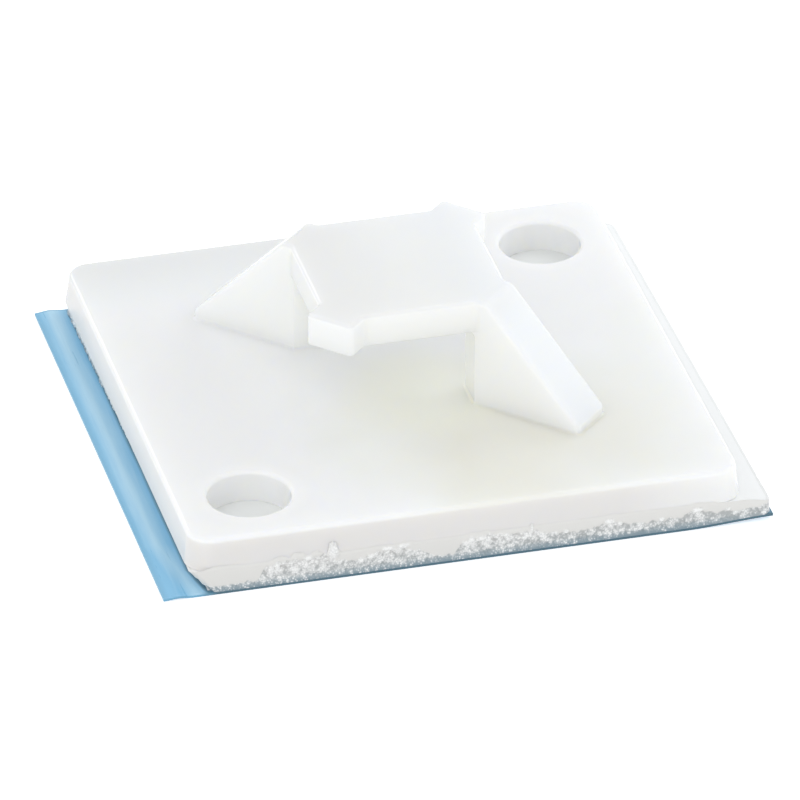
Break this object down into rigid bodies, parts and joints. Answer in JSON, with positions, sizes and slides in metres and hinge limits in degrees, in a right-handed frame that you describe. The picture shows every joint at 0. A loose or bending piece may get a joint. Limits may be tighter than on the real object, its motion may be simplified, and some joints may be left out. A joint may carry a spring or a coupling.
{
  "type": "cable tie mount",
  "caption": "Square adhesive-backed mount whose raised bridge takes a cable tie from any side, with corner screw holes.",
  "frame": {"origin": "centre of the moulded body's square footprint, at the underside of the release film", "axes": "+Z out of the mounted surface, towards the bridge; +X and +Y along the body's sides, so the film's pull tab is at -X and the screw holes are in the -X-Y and +X+Y corners"},
  "size_m": [0.0312, 0.0286, 0.009],
  "materials": {
    "natural_nylon": "milky translucent moulded nylon, satin",
    "white_foam": "closed-cell foam with rough cut edges, tacky adhesive faces",
    "blue_film": "thin glossy plastic film"
  },
  "bodies": {
    "root": {"mount_body": "natural_nylon", "foam_pad": "white_foam", "release_film": "blue_film"}
  },
  "joints": []
}
